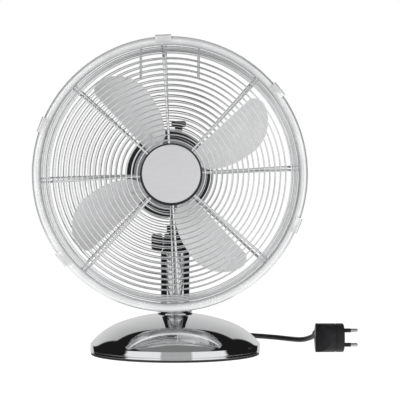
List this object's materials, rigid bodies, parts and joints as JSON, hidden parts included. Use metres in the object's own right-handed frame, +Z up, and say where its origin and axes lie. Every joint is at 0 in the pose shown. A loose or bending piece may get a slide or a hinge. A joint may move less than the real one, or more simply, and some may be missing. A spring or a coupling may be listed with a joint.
{
  "type": "desk fan",
  "caption": "Desk fan with a round chrome wire cage, satin metal blades, an oscillating and tilting head, a tubular stem and a domed base with a mains lead.",
  "frame": {"origin": "underside centre of the base, on the axis of the stem, on the face that stands on the desk", "axes": "+Z up along the stem, the front of the head faces -Y, +X on the right of someone who looks at the front"},
  "size_m": [0.4245, 0.3463, 0.4121],
  "materials": {
    "chrome": "mirror-polished chrome plate",
    "spring_steel": "bright plated spring steel",
    "black_plastic": "semi-gloss black moulding",
    "satin_aluminium": "satin rolled aluminium",
    "cast_aluminium": "die-cast",
    "badge_metal": "spun brushed face",
    "zinc_steel": "zinc plated",
    "lamination_steel": "stacked laminations",
    "copper": "enamelled wire",
    "bronze": "sintered bronze",
    "nylon": "natural nylon",
    "rubber": "matt black",
    "cast_iron": "as cast",
    "white_plastic": "moulded",
    "cord_pvc": "black flexible PVC",
    "nickel": "nickel plated"
  },
  "bodies": {
    "root": {"base_cover": "chrome", "rubber_foot_ring": "rubber", "bottom_plate": "zinc_steel", "bottom_plate_screws": "zinc_steel", "ballast_weight": "cast_iron", "run_capacitor": "white_plastic", "speed_switch": "white_plastic", "stem_tube": "chrome", "stem_tie_rod": "zinc_steel", "clevis_head": "black_plastic", "tilt_bolt": "zinc_steel", "cable_gland": "black_plastic", "mains_cord_run": "cord_pvc", "mains_cord_coil": "cord_pvc", "mains_cord_end": "cord_pvc", "mains_plug": "cord_pvc", "plug_pins": "nickel"},
    "speed_selector": {"speed_knob": "black_plastic"},
    "tilt_clamp_knob": {"tilt_knob": "black_plastic"},
    "neck": {"tilt_neck": "black_plastic", "swivel_bush": "bronze"},
    "link": {"crank_link": "zinc_steel"},
    "head": {"swivel_post": "cast_aluminium", "motor_front_bell": "cast_aluminium", "motor_rear_bell": "cast_aluminium", "motor_screws": "zinc_steel", "stator_core": "lamination_steel", "stator_windings": "copper", "shaft_bushes": "bronze", "motor_rear_cover": "chrome", "gearbox_case": "black_plastic", "gearbox_lid": "black_plastic", "rear_guard_plate": "chrome", "rear_guard_nut": "black_plastic", "rear_guard_rings": "chrome", "rear_guard_spokes": "chrome", "rear_guard_rim": "chrome", "front_guard_band": "chrome", "front_guard_rings": "chrome", "front_guard_spokes": "chrome", "guard_lock_screw": "zinc_steel", "badge_cup": "black_plastic", "badge_plate": "badge_metal"},
    "rotor": {"rotor_core": "lamination_steel", "motor_shaft": "zinc_steel", "worm": "bronze", "fan_blades": "satin_aluminium", "blade_spider": "cast_aluminium", "blade_rivets": "zinc_steel", "hub_fasteners": "zinc_steel"},
    "spindle": {"gear_spindle": "zinc_steel", "worm_wheel": "nylon"},
    "pull_knob": {"oscillation_knob": "black_plastic"},
    "crank": {"crank_gear": "nylon", "crank_disc": "zinc_steel"},
    "clip_1": {"guard_clip_1": "spring_steel"},
    "clip_2": {"guard_clip_2": "spring_steel"},
    "clip_3": {"guard_clip_3": "spring_steel"},
    "clip_4": {"guard_clip_4": "spring_steel"},
    "clip_5": {"guard_clip_5": "spring_steel"}
  },
  "joints": [
    {"name": "head_tilt", "type": "hinge", "parent": "root", "child": "neck", "pos_m": [0, 0, 0.146], "axis": [1, 0, 0], "range_deg": [-25, 8]},
    {"name": "head_oscillate", "type": "hinge", "parent": "neck", "child": "head", "pos_m": [0, 0, 0.1675], "axis": [0, 0, 1], "range_deg": [-40, 40]},
    {"name": "blade_spin", "type": "hinge", "parent": "head", "child": "rotor", "pos_m": [-0.008, -0.056, 0.235], "axis": [0, 1, 0], "continuous": true},
    {"name": "spindle_turn", "type": "hinge", "parent": "head", "child": "spindle", "pos_m": [0.006, 0.047, 0.235], "axis": [0, 0, 1], "continuous": true},
    {"name": "knob_lift", "type": "slide", "parent": "spindle", "child": "pull_knob", "axis": [0, 0, 1], "range_m": [0, 0.006]},
    {"name": "crank_turn", "type": "hinge", "parent": "head", "child": "crank", "pos_m": [0.0125, 0.03517, 0.202], "axis": [0, 0, 1], "continuous": true},
    {"name": "link_swing", "type": "hinge", "parent": "neck", "child": "link", "pos_m": [0.0125, 0, 0.1682], "axis": [0, 0, 1], "range_deg": [-41, 41]},
    {"name": "tilt_knob_turn", "type": "hinge", "parent": "root", "child": "tilt_clamp_knob", "pos_m": [-0.024, 0, 0.146], "axis": [1, 0, 0], "continuous": true},
    {"name": "speed_knob_turn", "type": "hinge", "parent": "root", "child": "speed_selector", "pos_m": [0, 0.08, 0.03779], "axis": [0, 0.4307, 0.9025], "range_deg": [0, 135]},
    {"name": "clip_1_open", "type": "hinge", "parent": "head", "child": "clip_1", "pos_m": [-0.017, -0.0566, 0.40676], "axis": [-0.9986, 0, -0.0523], "range_deg": [0, 90]},
    {"name": "clip_2_open", "type": "hinge", "parent": "head", "child": "clip_2", "pos_m": [0.12754, -0.0566, 0.34089], "axis": [-0.6157, 0, 0.788], "range_deg": [0, 90]},
    {"name": "clip_3_open", "type": "hinge", "parent": "head", "child": "clip_3", "pos_m": [0.15148, -0.0566, 0.17057], "axis": [0.3746, 0, 0.9272], "range_deg": [0, 90]},
    {"name": "clip_4_open", "type": "hinge", "parent": "head", "child": "clip_4", "pos_m": [-0.14354, -0.0566, 0.12911], "axis": [0.6157, 0, -0.788], "range_deg": [0, 90]},
    {"name": "clip_5_open", "type": "hinge", "parent": "head", "child": "clip_5", "pos_m": [-0.16858, -0.0566, 0.29664], "axis": [-0.3584, 0, -0.9336], "range_deg": [0, 90]}
  ],
  "couplings": [
    {"joint": "spindle_turn", "follows": "blade_spin", "ratio": 0.027778},
    {"joint": "crank_turn", "follows": "blade_spin", "ratio": -0.0069444},
    {"joint": "link_swing", "follows": "head_oscillate", "ratio": 1}
  ]
}
